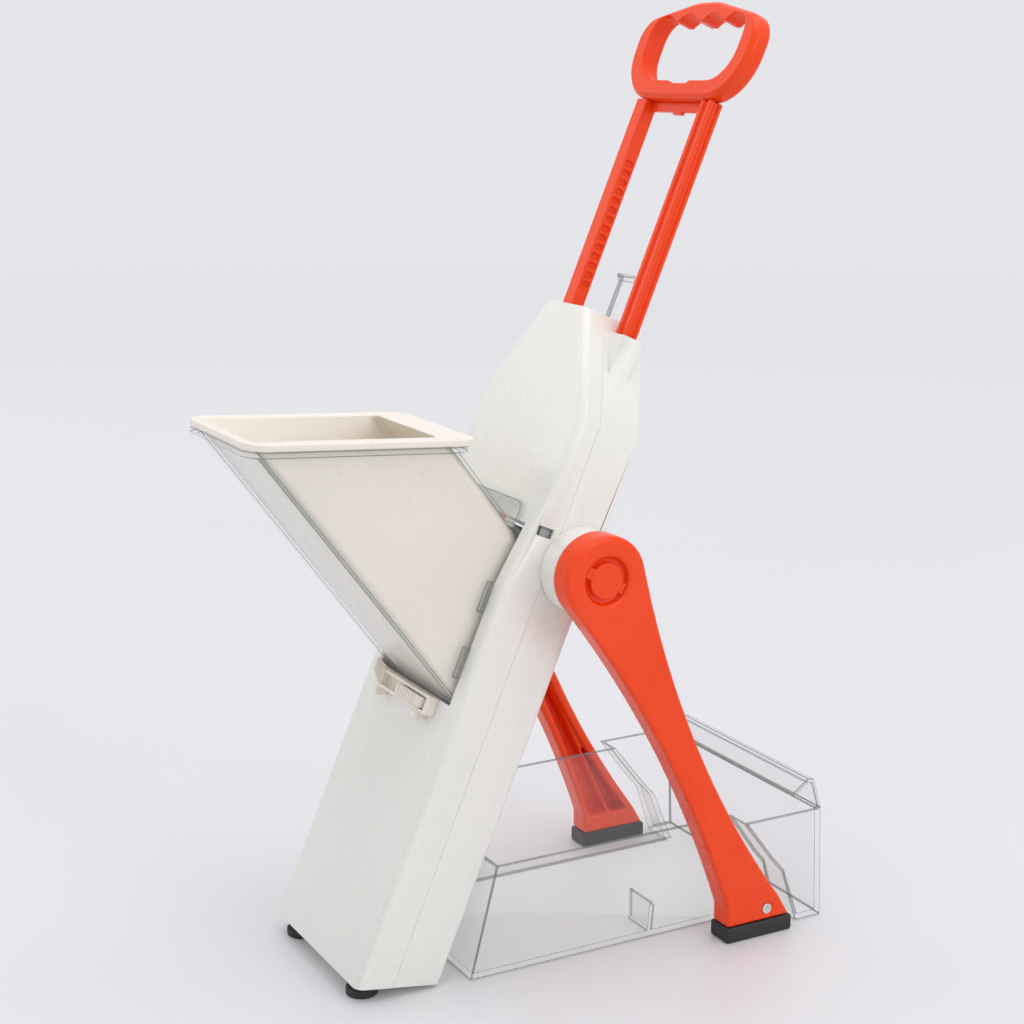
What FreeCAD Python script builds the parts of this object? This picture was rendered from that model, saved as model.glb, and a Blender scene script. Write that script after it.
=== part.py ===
import FreeCAD, Part

import math
import os

import Sketcher
from FreeCAD import Placement, Rotation, Vector

# An upright push mandoline: a leaning hollow body carries a feed chute in front, a sliding
# blade carriage inside, a grip handle on two rods above, two folding legs and a catch tray.
#
# Row frame: X across, Y backwards, Z up, origin on the ground in the middle of the footprint.
# Body frame: X across, Y is depth behind the front panel, Z runs up along the leaning body.

# alias, millimetres or degrees, what it sets
SIZES = [
    ("lean", 66.8, "lean of the body from the ground, degrees"),
    ("front_lift", 8.6, "height of the front bottom edge above the ground"),
    ("footprint_mid", 109.3, "front bottom edge to the middle of the footprint"),
    ("body_half", 51.6, "half width of the body"),
    ("body_depth", 44.2, "depth of the body"),
    ("body_long", 350.0, "body length along its lean"),
    ("bottom_rise", 10.9, "how far the rear bottom edge sits up along the lean"),
    ("wall", 2.2, "body wall"),
    ("seam_depth", 19.0, "depth of the joint between the two shells"),
    ("seam_step", 0.3, "rear shell's step in at the joint"),
    ("panel_recess", 6.5, "step back of the upper front panel"),
    ("recess_from", 207.0, "where the step back starts"),
    ("recess_to", 255.0, "where the step back ends"),
    ("shoulder_from", 297.0, "where the shoulders start"),
    ("top_half", 20.0, "half width of the flat top"),
    ("edge_round", 4.6, "rounding of the front edges"),
    ("window_at", 236.5, "side window's lower edge"),
    ("window_high", 4.8, "side window's height"),
    ("window_depth", 6.6, "side window's start behind the front"),
    ("window_wide", 8.6, "side window's width"),
    ("rear_open_from", 26.0, "lower end of the rear outlet"),
    ("rear_open_to", 252.0, "upper end of the rear outlet"),
    ("chute_half", 40.0, "half width of the feed chute"),
    ("chute_wall", 2.2, "chute wall"),
    ("chute_angle", 30.0, "chute's drop from the front panel's normal, degrees"),
    ("mouth_low", 145.6, "chute's lower wall at the front panel"),
    ("mouth_high", 239.0, "chute's upper wall at the front panel"),
    ("chute_end", 8.2, "depth of the chute's end inside the body"),
    ("rim_front", 141.0, "rim's reach in front of the panel"),
    ("rim_tilt", 3.7, "rim's fall towards the body, in degrees"),
    ("rim_rear", 38.6, "rim's rear edge in front of the panel"),
    ("rim_lip", 2.6, "rim's lip"),
    ("rim_thick", 3.0, "rim's thickness"),
    ("chute_round", 7.0, "chute's corner rounding"),
    ("slip", 0.6, "clearance of a sliding hand-fitted piece"),
    ("gap", 0.4, "clearance between neighbours on different bodies"),
    ("ear_half", 36.0, "half width of the chute's top ear"),
    ("ear_to", 249.0, "top of the chute's ear"),
    ("ear_thick", 2.0, "chute ear's thickness"),
    ("pusher_wall", 2.4, "pusher wall"),
    ("pusher_rim", 3.6, "pusher rim's thickness"),
    ("pusher_end", 6.0, "depth of the pusher's end inside the body"),
    ("rod_at", 29.7, "rod centre from the middle"),
    ("rod_depth", 28.7, "rod centre behind the front"),
    ("rod_wide", 9.4, "rod width"),
    ("rod_thick", 7.4, "rod thickness"),
    ("collar_wall", 1.8, "wall of the collar round a rod"),
    ("collar_low", 314.0, "foot of the collars, inside the shell"),
    ("collar_high", 343.0, "top of the collars"),
    ("rod_groove", 1.6, "depth of the rod's grooves"),
    ("rod_low", 150.0, "rod's lower end"),
    ("stroke", 105.0, "handle's travel"),
    ("rung_count", 14, "slots in the left rod"),
    ("rung_pitch", 5.1, "slot spacing"),
    ("rung_from", 364.0, "lowest slot"),
    ("grip_low", 466.5, "crossbar's lower edge"),
    ("bar_high", 9.6, "crossbar's height"),
    ("grip_half", 53.0, "half width of the handle"),
    ("grip_top", 518.6, "handle's top"),
    ("grip_thick", 11.0, "handle's thickness"),
    ("grip_arm", 11.5, "width of the handle's side arms"),
    ("grip_bar", 11.0, "height of the top bar above the finger bumps"),
    ("grip_bevel", 2.2, "handle's bevel"),
    ("grip_crown", 9.0, "rise of the handle's top over its shoulders"),
    ("grip_low_round", 26.0, "handle's lower corner radius"),
    ("window_round", 17.0, "lower corner radius of the handle's opening"),
    ("grip_top_round", 14.0, "handle's upper corner radius"),
    ("finger_pitch", 22.0, "finger spacing"),
    ("finger_radius", 10.5, "finger hollow radius"),
    ("finger_deep", 3.8, "finger hollow depth"),
    ("notch_half", 9.0, "half width of the lock notch"),
    ("notch_deep", 1.6, "depth of the lock notch"),
    ("plate_depth", 9.4, "carriage face behind the front"),
    ("plate_thick", 4.0, "carriage plate thickness"),
    ("carriage_half", 48.4, "half width of the carriage"),
    ("carriage_low", 132.0, "carriage's lower end"),
    ("carriage_top", 330.0, "carriage's upper end"),
    ("rail_wide", 3.6, "carriage side rail's width"),
    ("rail_back", 23.0, "depth of the carriage rails' back"),
    ("blade_edge", 243.0, "blade's cutting edge"),
    ("blade_tall", 16.0, "blade's height"),
    ("blade_thick", 0.8, "blade's thickness"),
    ("blade_half", 43.5, "half width of the blade"),
    ("platform_depth", 12.4, "platform's face behind the front"),
    ("platform_thick", 3.0, "platform's thickness"),
    ("platform_top", 226.0, "platform's upper edge"),
    ("bridge_at", 180.0, "middle of the carriage's bridge"),
    ("bridge_tall", 18.0, "bridge height"),
    ("bridge_depth", 20.0, "bridge's front face"),
    ("dial_radius", 15.0, "thickness dial's radius"),
    ("dial_thick", 8.0, "thickness dial's thickness"),
    ("shaft_radius", 3.0, "dial shaft's radius"),
    ("run_gap", 0.05, "radial clearance of a shaft in its bore"),
    ("comb_tooth", 1.0, "julienne tooth's thickness"),
    ("comb_pitch", 8.0, "julienne tooth spacing"),
    ("comb_teeth", 9, "julienne teeth"),
    ("spring_radius", 3.0, "return spring's radius"),
    ("spring_wall", 1.0, "spring wire"),
    ("peg_radius", 1.6, "peg that centres a spring"),
    ("spring_x", 41.4, "spring axis from the middle"),
    ("spring_low", 24.0, "spring's lower end, on its post"),
    ("spring_high", 200.0, "spring's upper end, under the carriage"),
    ("tab_half", 8.2, "half width of the lock tab"),
    ("tab_top", 375.6, "top of the lock tab"),
    ("tab_thick", 2.6, "lock tab's thickness"),
    ("tab_depth", 36.6, "lock tab's front face"),
    ("tab_swing", 2.2, "room in front of the lock tab"),
    ("tab_pivot", 340.0, "lock tab's pivot along the body"),
    ("pin_radius", 1.1, "lock tab pin radius"),
    ("hub_along", 227.6, "leg pivot along the body"),
    ("hub_depth", 35.2, "leg pivot behind the front"),
    ("hub_radius", 22.0, "leg hub radius"),
    ("leg_inner", 65.4, "leg's inner face from the middle"),
    ("leg_thick", 14.3, "leg's thickness"),
    ("leg_wall", 2.6, "leg's wall"),
    ("pivot_radius", 4.0, "leg pivot pin's radius"),
    ("disc_radius", 19.0, "raised disc round the leg's hub"),
    ("disc_high", 0.4, "height of that disc"),
    ("cap_radius", 8.8, "hub cap's radius"),
    ("cap_slot", 3.2, "width of the ring slot round the cap"),
    ("leg_front_sweep", 588.0, "radius of the leg's front edge"),
    ("leg_rear_sweep", 520.0, "radius of the leg's rear edge"),
    ("leg_hollow", 3.2, "leg's edge wall"),
    ("leg_reach", 95.0, "pivot to the middle of the shoe, backwards"),
    ("shoe_half", 19.6, "half length of the shoe"),
    ("shoe_high", 8.4, "height of the shoe"),
    ("screw_radius", 2.8, "shoe screw head radius"),
    ("foot_radius", 8.0, "body foot's radius"),
    ("foot_at", 38.0, "body foot from the middle"),
    ("tray_front", 61.5, "tray's front edge on the ground"),
    ("tray_rear", 262.0, "tray's rear face"),
    ("tray_high", 61.0, "tray's height"),
    ("tray_low_half", 52.6, "half width of the tray's floor"),
    ("tray_top_half", 59.6, "half width of the tray's narrow rim"),
    ("tray_wide_half", 73.0, "half width of the tray's wide end"),
    ("tray_step", 211.0, "where the tray widens"),
    ("tray_wall", 2.0, "tray's wall"),
    ("lip_high", 17.0, "height of the tray's pull lip"),
    ("lip_reach", 15.0, "reach of the tray's pull lip"),
]

doc = FreeCAD.newDocument("Slicer")
sheet = doc.addObject("Spreadsheet::Sheet", "Sizes")
for row, (alias, number, note) in enumerate(SIZES, 1):
    sheet.set(f"A{row}", note)
    sheet.set(f"B{row}", str(number))
    sheet.setAlias(f"B{row}", alias)
doc.recompute()


class Size:
    """A length or angle that knows both its number and the sheet expression behind it."""

    def __init__(self, number, text):
        self.number = float(number)
        self.text = text

    def _join(self, other, sign, number):
        return Size(number, f"({self.text} {sign} {lift(other).text})")

    def __add__(self, other):
        return self._join(other, "+", self.number + lift(other).number)

    def __sub__(self, other):
        return self._join(other, "-", self.number - lift(other).number)

    def __mul__(self, other):
        return self._join(other, "*", self.number * lift(other).number)

    def __truediv__(self, other):
        return self._join(other, "/", self.number / lift(other).number)

    def __radd__(self, other):
        return lift(other) + self

    def __rsub__(self, other):
        return lift(other) - self

    def __rmul__(self, other):
        return lift(other) * self

    def __neg__(self):
        return Size(-self.number, f"(0 - {self.text})")


def lift(value):
    return value if isinstance(value, Size) else Size(value, repr(float(value)))


def size(alias):
    return Size(sheet.get(alias), "Sizes." + alias)


def sine(angle):
    return Size(math.sin(math.radians(angle.number)), f"sin({angle.text} * 1deg)")


def cosine(angle):
    return Size(math.cos(math.radians(angle.number)), f"cos({angle.text} * 1deg)")


def bind(obj, path, value):
    obj.setExpression(path, lift(value).text)


# ---------------------------------------------------------------- sketches and features

def new_body(label):
    body = doc.addObject("PartDesign::Body", label)
    body.Label = label
    return body


def arc_between(start, end, radius):
    """Arc from start to end; a positive radius keeps its centre on the left of the run."""
    chord = end - start
    half = chord.Length / 2
    rise = math.sqrt(max(radius * radius - half * half, 0.0))
    side = Vector(-chord.y, chord.x, 0).normalize() * math.copysign(rise, radius)
    centre = start + chord * 0.5 + side
    first = math.atan2(start.y - centre.y, start.x - centre.x)
    last = math.atan2(end.y - centre.y, end.x - centre.x)
    circle = Part.Circle(centre, Vector(0, 0, 1), abs(radius))
    if radius > 0:
        return Part.ArcOfCircle(circle, first, last), True
    return Part.ArcOfCircle(circle, last, first), False


def outline(body, plane, points, offset=0.0):
    """Closed outline on a body plane. A point (x, y, radius) is reached by an arc."""
    sketch = body.newObject("Sketcher::SketchObject", body.Label + "_outline")
    origin = [f for f in body.Origin.OriginFeatures if f.Role == plane][0]
    sketch.AttachmentSupport = (origin, [""])
    sketch.MapMode = "FlatFace"
    shift = -lift(offset) if plane == "XZ_Plane" else lift(offset)
    bind(sketch, "AttachmentOffset.Base.z", shift)
    spots = [Vector(lift(p[0]).number, lift(p[1]).number, 0) for p in points]
    count = len(points)
    ends = []
    for i in range(count):
        following = (i + 1) % count
        radius = points[following][2] if len(points[following]) > 2 else None
        if radius is None:
            sketch.addGeometry(Part.LineSegment(spots[i], spots[following]))
            ends.append((1, 2))
        else:
            arc, forward = arc_between(spots[i], spots[following], lift(radius).number)
            sketch.addGeometry(arc)
            ends.append((1, 2) if forward else (2, 1))
    for i in range(count):
        before = (i - 1) % count
        constraint = Sketcher.Constraint("Coincident", before, ends[before][1], i, ends[i][0])
        sketch.addConstraint(constraint)
    for i, point in enumerate(points):
        for kind, value in (("DistanceX", point[0]), ("DistanceY", point[1])):
            number = lift(value).number
            place = Sketcher.Constraint(kind, -1, 1, i, ends[i][0], number)
            index = sketch.addConstraint(place)
            bind(sketch, f"Constraints[{index}]", value)
        if len(point) > 2:
            radius = lift(point[2])
            edge = (i - 1) % count
            rule = Sketcher.Constraint("Radius", edge, abs(radius.number))
            index = sketch.addConstraint(rule)
            bind(sketch, f"Constraints[{index}]", radius if radius.number > 0 else -radius)
    return sketch


def circles(body, plane, rings, offset=0.0):
    """Circles (x, y, radius) on a body plane."""
    sketch = body.newObject("Sketcher::SketchObject", body.Label + "_circles")
    origin = [f for f in body.Origin.OriginFeatures if f.Role == plane][0]
    sketch.AttachmentSupport = (origin, [""])
    sketch.MapMode = "FlatFace"
    shift = -lift(offset) if plane == "XZ_Plane" else lift(offset)
    bind(sketch, "AttachmentOffset.Base.z", shift)
    for x, y, radius in rings:
        centre = Vector(lift(x).number, lift(y).number, 0)
        circle = Part.Circle(centre, Vector(0, 0, 1), lift(radius).number)
        index = sketch.addGeometry(circle)
        for kind, value in (("DistanceX", x), ("DistanceY", y)):
            rule = Sketcher.Constraint(kind, -1, 1, index, 3, lift(value).number)
            bind(sketch, f"Constraints[{sketch.addConstraint(rule)}]", value)
        rule = Sketcher.Constraint("Radius", index, lift(radius).number)
        bind(sketch, f"Constraints[{sketch.addConstraint(rule)}]", radius)
    return sketch


def pad(sketch, length, plane, both=False):
    """Pad towards the plane's positive axis, or evenly to both sides."""
    body = sketch.getParentGeoFeatureGroup()
    feature = body.newObject("PartDesign::Pad", body.Label + "_pad")
    feature.Profile = sketch
    feature.Length = lift(length).number
    bind(feature, "Length", length)
    feature.Midplane = both
    feature.Reversed = plane == "XZ_Plane" and not both
    doc.recompute()
    return feature


def pocket(sketch, length, plane, both=False):
    """Cut towards the plane's positive axis, or evenly to both sides."""
    body = sketch.getParentGeoFeatureGroup()
    before = body.Tip.Shape.Volume
    feature = body.newObject("PartDesign::Pocket", body.Label + "_pocket")
    feature.Profile = sketch
    feature.Length = lift(length).number
    bind(feature, "Length", length)
    feature.Midplane = both
    feature.Reversed = plane != "XZ_Plane" and not both
    doc.recompute()
    if feature.Shape.Volume > before - 1e-3:
        raise ValueError(body.Label + ": a pocket cut nothing")
    return feature


def dress(body, kind, picks, value):
    """Fillet or chamfer of the tip's edges that picks(edge) chooses."""
    base = body.Tip
    names = [f"Edge{i}" for i, edge in enumerate(base.Shape.Edges, 1) if picks(edge)]
    feature = body.newObject("PartDesign::" + kind, body.Label + "_" + kind.lower())
    feature.Base = (base, names)
    path = "Radius" if kind == "Fillet" else "Size"
    setattr(feature, path, lift(value).number)
    bind(feature, path, value)
    doc.recompute()
    return feature


def hollow(body, picks, value):
    """Shell the tip inwards, open at the faces that picks(face) chooses."""
    base = body.Tip
    names = [f"Face{i}" for i, face in enumerate(base.Shape.Faces, 1) if picks(face)]
    feature = body.newObject("PartDesign::Thickness", body.Label + "_walls")
    feature.Base = (base, names)
    feature.Value = lift(value).number
    bind(feature, "Value", value)
    feature.Reversed = True
    feature.Join = 1
    doc.recompute()
    return feature


def block(x, y, z, name="block"):
    """Box from three (low, high) pairs."""
    box = doc.addObject("Part::Box", name)
    for path, (low, high) in (("Length", x), ("Width", y), ("Height", z)):
        bind(box, path, lift(high) - low)
    for path, (low, high) in (("x", x), ("y", y), ("z", z)):
        bind(box, "Placement.Base." + path, low)
    return box


def rod(axis, centre, radius, low, high, name="rod"):
    """Cylinder along X, Y or Z from low to high."""
    cylinder = doc.addObject("Part::Cylinder", name)
    bind(cylinder, "Radius", radius)
    bind(cylinder, "Height", lift(high) - low)
    turns = {"X": Rotation(Vector(0, 1, 0), 90), "Y": Rotation(Vector(-1, 0, 0), 90),
             "Z": Rotation()}
    cylinder.Placement = Placement(Vector(), turns[axis])
    where = {"X": (low, centre[0], centre[1]), "Y": (centre[0], low, centre[1]),
             "Z": (centre[0], centre[1], low)}[axis]
    for path, value in zip("xyz", where):
        bind(cylinder, "Placement.Base." + path, value)
    return cylinder


def fuse(label, *pieces):
    joined = doc.addObject("Part::MultiFuse", label)
    joined.Label = label
    joined.Shapes = list(pieces)
    doc.recompute()
    return joined


def cut(label, base, *tools):
    result = doc.addObject("Part::Cut", label)
    result.Label = label
    result.Base = base
    result.Tool = tools[0] if len(tools) == 1 else fuse(label + "_tools", *tools)
    doc.recompute()
    return result


def group(label, *pieces):
    """Separate solids of one node."""
    result = doc.addObject("Part::Compound", label)
    result.Label = label
    result.Links = list(pieces)
    doc.recompute()
    return result


def mirrored(label, source):
    result = doc.addObject("Part::Mirroring", label)
    result.Label = label
    result.Source = source
    result.Normal = Vector(1, 0, 0)
    doc.recompute()
    return result


NODES = []


def leaning(obj):
    """Stand a piece of the body frame in the row frame."""
    obj.Placement = Placement(Vector(), Rotation(Vector(-1, 0, 0), 90 - LEAN.number))
    bind(obj, "Placement.Rotation.Angle", 90 - LEAN)
    bind(obj, "Placement.Base.y", -FOOTPRINT_MID)
    bind(obj, "Placement.Base.z", FRONT_LIFT)
    NODES.append(obj)
    return obj


def upright(obj):
    """Stand a piece whose Y counts from the front bottom edge in the row frame."""
    bind(obj, "Placement.Base.y", -FOOTPRINT_MID)
    NODES.append(obj)
    return obj


# ---------------------------------------------------------------- driving sizes

LEAN = size("lean")
FRONT_LIFT = size("front_lift")
FOOTPRINT_MID = size("footprint_mid")
RIM_LEAN = LEAN + size("rim_tilt")
HALF = size("body_half")
DEPTH = size("body_depth")
LONG = size("body_long")
WALL = size("wall")
SEAM = size("seam_depth")
RECESS = size("panel_recess")
GAP = size("gap")
SLIP = size("slip")
RUN = size("run_gap")
OVER = 40.0
TINY = 1e-4


def bottom_at(depth):
    return size("bottom_rise") * depth / DEPTH


def near(a, b, reach=0.01):
    return abs(a - lift(b).number) < reach


# ---------------------------------------------------------------- body shells

def outer_half(along):
    """Half width of the body's outline at a height along it."""
    run = (HALF.number - size("top_half").number) / (LONG.number - size("shoulder_from").number)
    return HALF.number - max(0.0, along - size("shoulder_from").number) * run


def shoulder_cut(body, inset):
    """Cut both shoulders from the shell's outline, inset from the outer one."""
    slope_in = size("top_half")
    for side in (1, -1):
        points = [(side * (HALF - inset), size("shoulder_from")),
                  (side * (slope_in - inset), LONG),
                  (side * (slope_in - inset), LONG + OVER),
                  (side * (HALF + OVER), LONG + OVER),
                  (side * (HALF + OVER), size("shoulder_from"))]
        pocket(outline(body, "XZ_Plane", points, -OVER), DEPTH + 2 * OVER, "XZ_Plane")


def front_shell():
    body = new_body("front_shell")
    profile = [(0, 0), (0, size("recess_from")), (RECESS, size("recess_to")), (RECESS, LONG),
               (SEAM, LONG), (SEAM, bottom_at(SEAM))]
    pad(outline(body, "YZ_Plane", profile), 2 * HALF, "YZ_Plane", both=True)
    bends = (size("recess_from").number, size("recess_to").number)
    dress(body, "Fillet",
          lambda e: near(e.BoundBox.XLength, 2 * HALF)
          and any(near(e.BoundBox.ZMin, b) for b in bends), OVER)
    shoulder_cut(body, lift(0))

    def front_edge(edge):
        box = edge.BoundBox
        front = box.YMax < RECESS.number + 0.1 and box.ZLength > 0.5
        middle = box.Center
        inside = outer_half(middle.z) - abs(middle.x)
        return front and inside < 1.0

    hollow(body, lambda f: near(f.BoundBox.YMin, SEAM) and near(f.BoundBox.YMax, SEAM), WALL)
    dress(body, "Fillet", front_edge, size("edge_round"))
    side = size("chute_half") + SLIP
    sill = size("mouth_low") - SLIP - slide_drop(WALL)
    mouth = [(-side, sill), (side, sill),
             (side, size("mouth_high") + SLIP), (-side, size("mouth_high") + SLIP)]
    pocket(outline(body, "XZ_Plane", mouth, -OVER), OVER + size("plate_depth"), "XZ_Plane")
    low = size("window_depth")
    window = [(low, size("window_at")), (low + size("window_wide"), size("window_at")),
              (low + size("window_wide"), size("window_at") + size("window_high")),
              (low, size("window_at") + size("window_high"))]
    pocket(outline(body, "YZ_Plane", window, HALF - 2 * WALL), OVER, "YZ_Plane")
    return leaning(body)


def rod_collar(side):
    """Raised collar that a rod comes out of, before its hole is cut."""
    across = size("rod_wide") / 2 + GAP + size("collar_wall")
    deep = size("rod_thick") / 2 + GAP + size("collar_wall")
    at = side * size("rod_at")
    middle = size("rod_depth")
    return block((at - across, at + across), (middle - deep, middle + deep),
                 (size("collar_low"), size("collar_high")))


def rear_shell():
    body = new_body("rear_shell_solid")
    half = HALF - size("seam_step")
    profile = [(SEAM, bottom_at(SEAM)), (SEAM, LONG), (DEPTH, LONG), (DEPTH, bottom_at(DEPTH))]
    pad(outline(body, "YZ_Plane", profile), 2 * half, "YZ_Plane", both=True)
    shoulder_cut(body, size("seam_step"))

    def rear_edge(edge):
        box = edge.BoundBox
        return near(box.YMin, DEPTH) and near(box.YMax, DEPTH) and box.ZLength > 1

    hollow(body, lambda f: near(f.BoundBox.YMin, SEAM) and near(f.BoundBox.YMax, SEAM), WALL)
    dress(body, "Fillet", rear_edge, size("edge_round") / 2)
    side = half - 2 * WALL
    outlet = [(-side, size("rear_open_from")), (side, size("rear_open_from")),
              (side, size("rear_open_to")), (-side, size("rear_open_to"))]
    pocket(outline(body, "XZ_Plane", outlet, DEPTH - 2 * WALL), OVER, "XZ_Plane")
    tab = size("tab_half") + GAP
    swing = size("tab_depth") - size("tab_swing")
    notch = [(-tab, swing), (tab, swing),
             (tab, DEPTH + OVER), (-tab, DEPTH + OVER)]
    pocket(outline(body, "XY_Plane", notch, size("tab_pivot") - 6), OVER, "XY_Plane")
    # collars round the rods, posts under the springs and round the pivots, lock tab's ears
    pieces = [body]
    for sign in (1, -1):
        pieces.append(rod_collar(sign))
        pieces.append(rod("Z", (sign * size("spring_x"), size("rod_depth")), 4.4,
                          bottom_at(size("rod_depth")) + WALL / 2, size("spring_low")))
        inner = half - 3 * WALL
        low, high = (inner, half - WALL / 2) if sign > 0 else (WALL / 2 - half, -inner)
        pieces.append(rod("X", (size("hub_depth"), size("hub_along")), 7.0, low, high))
        ear = (tab + GAP, tab + GAP + 2.4) if sign > 0 else (-tab - GAP - 2.4, -tab - GAP)
        pieces.append(block(ear, (size("tab_depth") - 1.6, DEPTH - WALL / 2),
                            (size("tab_pivot") - 4, LONG - WALL / 2)))
    whole = fuse("rear_shell_posts", *pieces)
    holes = [rod("X", (size("hub_depth"), size("hub_along")), size("pivot_radius"),
                 -HALF - OVER, HALF + OVER),
             rod("X", (size("tab_depth") + size("tab_thick") / 2, size("tab_pivot")),
                 size("pin_radius"), -tab - GAP - 2.4, tab + GAP + 2.4)]
    rod_x = size("rod_wide") / 2 + GAP
    rod_y = size("rod_thick") / 2 + GAP
    middle = size("rod_depth")
    for sign in (1, -1):
        at = sign * size("rod_at")
        holes.append(block((at - rod_x, at + rod_x), (middle - rod_y, middle + rod_y),
                           (size("shoulder_from"), LONG + OVER)))
        holes.append(rod("Z", (sign * size("spring_x"), middle), size("peg_radius"),
                         size("spring_low") - 8, size("spring_low")))
    return leaning(cut("rear_shell", whole, *holes))


def shell_screws():
    """Self-tapping screws through the rear bridge and the top into the front shell."""
    pieces = []
    for x in (-30.0, 30.0):
        pieces.append(rod("Y", (x, 19.0), 3.2, DEPTH, DEPTH + 1.4))
        pieces.append(rod("Y", (x, 262.0), 3.2, DEPTH, DEPTH + 1.4))
    return leaning(group("shell_screws", *pieces))


def body_feet():
    pieces = []
    for sign in (1, -1):
        disc = rod("Z", (sign * size("foot_at"), 9.0), size("foot_radius"), 0.0, 4.2)
        stem = rod("Z", (sign * size("foot_at"), 9.0), size("foot_radius") / 2, 4.0, 7.6)
        pieces.append(fuse("foot", disc, stem))
    return upright(group("body_feet", *pieces))


# ---------------------------------------------------------------- chute, pusher and latch

def slide_drop(depth):
    """Drop along the body of a line that follows the chute, per depth."""
    return lift(depth) * sine(size("chute_angle")) / cosine(size("chute_angle"))


def chute_profile(inset, end_depth, rim_up, reach):
    """Side outline of the chute, moved in by inset, up to a rim raised by rim_up."""
    slant = inset / cosine(size("chute_angle"))
    low = size("mouth_low") + slant
    high = size("mouth_high") - slant
    rim_at = size("mouth_low") + slide_drop(size("rim_front")) + rim_up
    tangent = sine(size("chute_angle")) / cosine(size("chute_angle"))
    level = cosine(RIM_LEAN) / sine(RIM_LEAN)

    def meet(start):
        return (rim_at + level * size("rim_front") - start) / (level + tangent)

    front = meet(low)
    rear = meet(high)
    points = [(end_depth, low - slide_drop(end_depth))]
    points.append((-front - reach, low + slide_drop(front + reach)))
    points.append((-rear - reach, high + slide_drop(rear + reach)))
    points.append((end_depth, high - slide_drop(end_depth)))
    return points


def level_plate(label, lip, base, thick, radius):
    """Rim plate with round corners that reaches past the chute's rim by lip."""
    half = size("chute_half") + lip
    front = size("rim_front") + lip
    deep = (front - size("rim_rear") + lip) / sine(RIM_LEAN)
    body = new_body(label)
    points = [(radius - half, 0, radius), (half - radius, 0), (half, radius, radius),
              (half, deep - radius), (half - radius, deep, radius), (radius - half, deep),
              (-half, deep - radius, radius), (-half, radius)]
    pad(outline(body, "XY_Plane", points), thick, "XY_Plane")
    body.Placement = Placement(Vector(), Rotation(Vector(1, 0, 0), 90 - RIM_LEAN.number))
    start = size("mouth_low") + slide_drop(size("rim_front")) + base
    bind(body, "Placement.Rotation.Angle", 90 - RIM_LEAN)
    bind(body, "Placement.Base.y", -front)
    bind(body, "Placement.Base.z", start - lip * cosine(RIM_LEAN) / sine(RIM_LEAN))
    return body


def round_along(body, radius, slant):
    """Round the long corners that run along the chute."""
    def along(edge):
        box = edge.BoundBox
        return box.XLength < TINY and box.YLength > 20 and near(
            abs(box.ZLength / box.YLength), slant.number, 0.02)
    dress(body, "Fillet", along, radius)


def feed_chute():
    slant = sine(size("chute_angle")) / cosine(size("chute_angle"))
    outer = new_body("chute_outer")
    pad(outline(outer, "YZ_Plane", chute_profile(lift(0), size("chute_end"), lift(0), 0.0)),
        2 * size("chute_half"), "YZ_Plane", both=True)
    round_along(outer, size("chute_round"), slant)
    lip = size("rim_lip")
    rim = level_plate("chute_rim", lip, lift(-1.0), size("rim_thick"),
                      size("chute_round") + lip)
    ear = new_body("chute_ear")
    slope = (size("recess_to") - size("recess_from")) / RECESS

    def face(along):
        return (lift(along) - size("recess_from")) / slope - 2 * GAP

    low, high = size("mouth_high") - 8, size("ear_to")
    thick = size("ear_thick")
    pad(outline(ear, "YZ_Plane", [(face(low) - thick, low), (face(low), low),
                                  (face(high), high), (face(high) - thick, high)]),
        2 * size("ear_half"), "YZ_Plane", both=True)
    dress(ear, "Fillet", lambda e: e.BoundBox.XLength < TINY and e.BoundBox.ZMin
          > high.number - 1, size("chute_round"))
    inner = new_body("chute_inner")
    pad(outline(inner, "YZ_Plane",
                chute_profile(size("chute_wall"), size("chute_end") + OVER, lift(0), OVER)),
        2 * (size("chute_half") - size("chute_wall")), "YZ_Plane", both=True)
    round_along(inner, size("chute_round") - size("chute_wall"), slant)
    tabs = []
    for sign in (1, -1):
        for at in (158.0, 192.0):
            x = (size("chute_half") - 1, size("chute_half") + 3)
            x = x if sign > 0 else (-x[1], -x[0])
            tabs.append(block(x, (-3.4, -1.0), (at, lift(at) + 15)))
    whole = fuse("chute_solid", outer, rim, ear, *tabs)
    tip = block((-HALF - OVER, HALF + OVER), (size("chute_end"), size("chute_end") + 2 * OVER),
                (0.0, LONG))
    return leaning(cut("feed_chute", whole, inner, tip))


def food_pusher():
    slant = sine(size("chute_angle")) / cosine(size("chute_angle"))
    shift = size("chute_wall") + SLIP
    half = size("chute_half") - shift
    rim_base = size("rim_thick") - 1.0 + GAP
    outer = new_body("pusher_outer")
    pad(outline(outer, "YZ_Plane", chute_profile(shift, size("pusher_end"), rim_base, 0.0)),
        2 * half, "YZ_Plane", both=True)
    round_along(outer, size("chute_round") - size("chute_wall"), slant)
    lip = size("rim_lip") + 1.0
    rim = level_plate("pusher_rim", lip, rim_base, size("pusher_rim"),
                      size("chute_round") + lip)
    inner = new_body("pusher_inner")
    deep = shift + size("pusher_wall")
    pad(outline(inner, "YZ_Plane",
                chute_profile(deep, size("pusher_end") - size("pusher_wall"), lift(0), OVER)),
        2 * (half - size("pusher_wall")), "YZ_Plane", both=True)
    round_along(inner, size("chute_round") - size("chute_wall") - 1, slant)
    whole = fuse("pusher_solid", outer, rim)
    return leaning(cut("food_pusher", whole, inner))


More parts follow.
